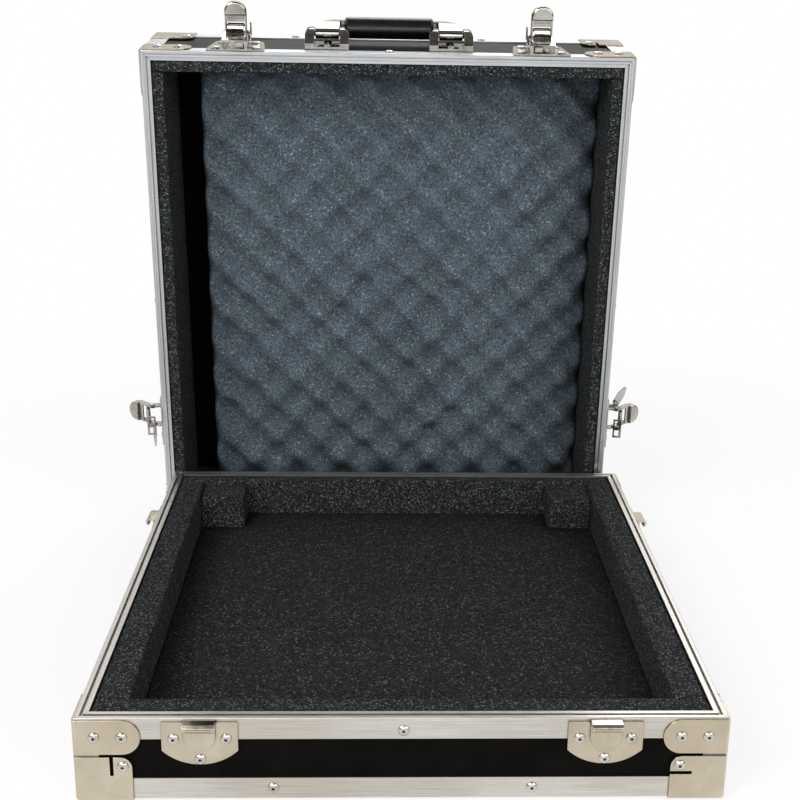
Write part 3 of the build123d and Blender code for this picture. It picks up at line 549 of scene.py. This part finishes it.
wide = HALF - RIM
back = CASE_DEPTH - RIM
base_low = -BASE_HEIGHT + METAL + BOARD
floor = base_low + BASE_FOAM_FLOOR
front_face = RIM + BASE_FOAM_FRONT
rear_face = back - BASE_FOAM_REAR
side_face = wide - BASE_FOAM_SIDE
block_front = rear_face - BLOCK_DEPTH
pad_top = -FOAM_DROP
block_top = pad_top - BLOCK_DROP
block_inner = side_face - BLOCK_WIDTH

# name, and its reach across, along and up
TRAY_PADS = [
    ("tray_foam_floor", (-side_face, side_face), (front_face, rear_face), (base_low, floor)),
    ("tray_foam_front", (-wide, wide), (RIM, front_face), (base_low, pad_top)),
    ("tray_foam_rear", (-wide, wide), (rear_face, back), (base_low, pad_top)),
    ("tray_foam_left", (-wide, -side_face), (front_face, rear_face), (base_low, pad_top)),
    ("tray_foam_right", (side_face, wide), (front_face, rear_face), (base_low, pad_top)),
    ("tray_foam_block_left", (-side_face, -block_inner), (block_front, rear_face), (base_low, block_top)),
    ("tray_foam_block_right", (block_inner, side_face), (block_front, rear_face), (base_low, block_top)),
]
for index, (name, x, y, z) in enumerate(TRAY_PADS):
    node = name.replace("tray", "base")
    seed = 7.0 * index
    if name == "tray_foam_floor":
        pad = cut_block(x, y, z, FLOOR_PAD_STEP, TRAY_PAD_EDGE, seed, notch=(block_inner, block_front))
        finish_piece(name, pad, BASE_AT, node, "base", FLOOR_FOAM)
    else:
        pad = cut_block(x, y, z, TRAY_PAD_STEP, TRAY_PAD_EDGE, seed)
        finish_piece(name, pad, BASE_AT, node, "base", FOAM)

lid_low = -LID_HEIGHT + METAL + BOARD
near = RIM + LID_FOAM
far = back - LID_FOAM

# name, its CAD node, and its reach across and along
LID_PADS = [
    ("lid_foam_upper", "lid_foam_carrying", (-wide, wide), (far, back)),
    ("lid_foam_lower", "lid_foam_standing", (-wide, wide), (RIM, near)),
    ("lid_foam_left_side", "lid_foam_left", (-wide, -wide + LID_FOAM), (near, far)),
    ("lid_foam_right_side", "lid_foam_right", (wide - LID_FOAM, wide), (near, far)),
]
for index, (name, node, x, y) in enumerate(LID_PADS):
    pad = cut_block(x, y, (lid_low, pad_top), LID_PAD_STEP, LID_PAD_EDGE, seed=31.0 + 5 * index)
    finish_piece(name, pad, LID_AT, node, "lid", FOAM)

crate_wide = wide - LID_FOAM - GAP
crate = egg_crate((-crate_wide + CRATE_LEFT_GAP, crate_wide), (near + GAP, CASE_DEPTH - near - GAP), lid_low)
finish_piece("lid_egg_crate", crate, LID_AT, "lid_egg_crate_foam", "lid", CRATE_FOAM)


# Floor, light and camera

def floor_material():
    """Matt pale paint: it keeps the object's shadow, runs out to white, and is a little mottled in metal."""
    material, tree, place = start("studio_floor")
    tone = add(tree, "ShaderNodeTexNoise", Vector=place, Scale=1 / 400.0, Detail=2.0, Roughness=0.5)
    paint = add(tree, "ShaderNodeValToRGB", stops=[(0.0, "#f4f4f4"), (1.0, "#f8f8f8")], i0=tone)
    matt = add(tree, "ShaderNodeBsdfPrincipled", Base_Color=paint, Roughness=0.9, Specular_IOR_Level=0.1)

    rays = add(tree, "ShaderNodeLightPath")
    seen = add(tree, "ShaderNodeMath", {"operation": "MAXIMUM"}, i0=rays.outputs["Is Camera Ray"],
               i1=rays.outputs["Is Glossy Ray"])
    shown = add(tree, "ShaderNodeMath", {"operation": "MAXIMUM"}, i0=seen,
                i1=rays.outputs["Is Transmission Ray"])
    away = add(tree, "ShaderNodeVectorMath", {"operation": "LENGTH"}, Vector=place)
    plain = add(tree, "ShaderNodeMapRange", Value=away.outputs["Value"], From_Min=FLOOR_NEAR,
                From_Max=FLOOR_FAR, To_Min=FLOOR_NEAR_WHITE, To_Max=1.0)
    amount = add(tree, "ShaderNodeMath", {"operation": "MULTIPLY"}, i0=shown, i1=plain)

    patches = add(tree, "ShaderNodeTexNoise", Vector=place, Scale=1 / 260.0, Detail=3.0, Roughness=0.55)
    mottled = add(tree, "ShaderNodeValToRGB", stops=[(0.34, "#d6d0c6"), (0.58, "#ffffff")], i0=patches)
    shade = add(tree, "ShaderNodeMix", {"data_type": "RGBA"}, Factor=rays.outputs["Is Glossy Ray"],
                i6=linear("#ffffff"), i7=mottled)
    white = add(tree, "ShaderNodeEmission", Color=shade.outputs[2], Strength=1.0)
    both = add(tree, "ShaderNodeMixShader", i0=amount, i1=matt, i2=white)
    add(tree, "ShaderNodeOutputMaterial", Surface=both)
    return material


def studio_world():
    """Soft even light on the case, white behind it, and a room with a pale upper half for metal to mirror."""
    world = bpy.data.worlds.new("studio")
    bpy.context.scene.world = world
    world.use_nodes = True
    sky = world.node_tree
    sky.nodes.clear()
    rays = add(sky, "ShaderNodeLightPath")
    way = add(sky, "ShaderNodeSeparateXYZ", Vector=add(sky, "ShaderNodeTexCoord").outputs["Generated"])
    room_end = add(sky, "ShaderNodeMapRange", Value=way.outputs["Y"], From_Min=-0.15, From_Max=-0.65)
    glow = add(sky, "ShaderNodeValToRGB", stops=[(0.0, "#4d463e"), (0.10, "#857c70"), (0.32, "#f2f0ec"),
                                                 (0.78, "#ffffff"), (0.94, "#6b665f")], i0=way.outputs["Z"])
    room = add(sky, "ShaderNodeMix", {"data_type": "RGBA"}, Factor=room_end, i6=glow, i7=linear("#3a342d"))
    soft = add(sky, "ShaderNodeBackground", Color=linear("#f3f5f8"), Strength=0.45)
    mirror = add(sky, "ShaderNodeBackground", Color=room.outputs[2], Strength=0.95)
    white = add(sky, "ShaderNodeBackground", Color=linear("#ffffff"), Strength=1.0)
    glossy = add(sky, "ShaderNodeMixShader", i0=rays.outputs["Is Glossy Ray"], i1=soft, i2=mirror)
    seen = add(sky, "ShaderNodeMixShader", i0=rays.outputs["Is Camera Ray"], i1=glossy, i2=white)
    add(sky, "ShaderNodeOutputWorld", Surface=seen)


def lamp(name, at, aim, width, height, power):
    """A softbox pointed at a place."""
    data = bpy.data.lights.new(name, "AREA")
    data.shape = "RECTANGLE"
    data.size = width
    data.size_y = height
    data.energy = power
    made = bpy.data.objects.new(name, data)
    made.location = at
    made.rotation_euler = (Vector(aim) - Vector(at)).to_track_quat("-Z", "Y").to_euler()
    bpy.context.scene.collection.objects.link(made)


def camera():
    """The photograph's viewpoint, fitted to the case's corners."""
    yaw = math.radians(CAMERA_YAW)
    pitch = math.radians(CAMERA_PITCH)
    roll = math.radians(CAMERA_ROLL)
    turn = Matrix.Rotation(yaw, 3, "Z")
    forward = turn @ Vector((0, math.cos(pitch), -math.sin(pitch)))
    right = turn @ Vector((1, 0, 0))
    up = right.cross(forward)
    right_rolled = math.cos(roll) * right + math.sin(roll) * up
    up_rolled = -math.sin(roll) * right + math.cos(roll) * up
    data = bpy.data.cameras.new("view")
    made = bpy.data.objects.new("view", data)
    rotation = Matrix((right_rolled, up_rolled, -forward)).transposed()
    place = Vector((BASE_AT.translation.x, BASE_AT.translation.y, 0)) + Vector(CAMERA_FROM_TRAY) * MM
    made.matrix_world = Matrix.Translation(place) @ rotation.to_4x4()
    data.sensor_width = SENSOR_WIDTH
    data.lens = FOCAL_PIXELS * SENSOR_WIDTH / PICTURE_PIXELS
    data.shift_x = -(LENS_CENTRE[0] - PICTURE_PIXELS / 2) / PICTURE_PIXELS
    data.shift_y = (LENS_CENTRE[1] - PICTURE_PIXELS / 2) / PICTURE_PIXELS
    data.clip_start = 0.05
    data.clip_end = 50
    bpy.context.scene.collection.objects.link(made)
    bpy.context.scene.camera = made


bpy.ops.mesh.primitive_plane_add(size=FLOOR_SIZE * MM, location=(0, 0, -FLOOR_DROP * MM))
ground = bpy.context.object
ground.name = "studio_ground"
ground.data.materials.append(floor_material())
studio_world()

# name, place, aim, width and height in metres, and power in watts
LAMPS = [
    ("key_softbox", (-1.2, -1.6, 1.7), (0.0, 0.1, 0.3), 1.1, 1.1, 36.0),
    ("fill_softbox", (1.5, -1.6, 1.2), (0.0, 0.0, 0.25), 1.2, 1.2, 14.0),
    ("front_softbox", (0.0, -2.4, 0.8), (0.0, 0.1, 0.25), 1.6, 0.9, 14.0),
    ("back_softbox", (0.2, 1.6, 1.9), (0.0, 0.1, 0.3), 1.4, 1.4, 18.0),
]
for settings in LAMPS:
    lamp(*settings)

camera()
bpy.context.scene.view_settings.view_transform = "Standard"

bpy.context.view_layer.update()
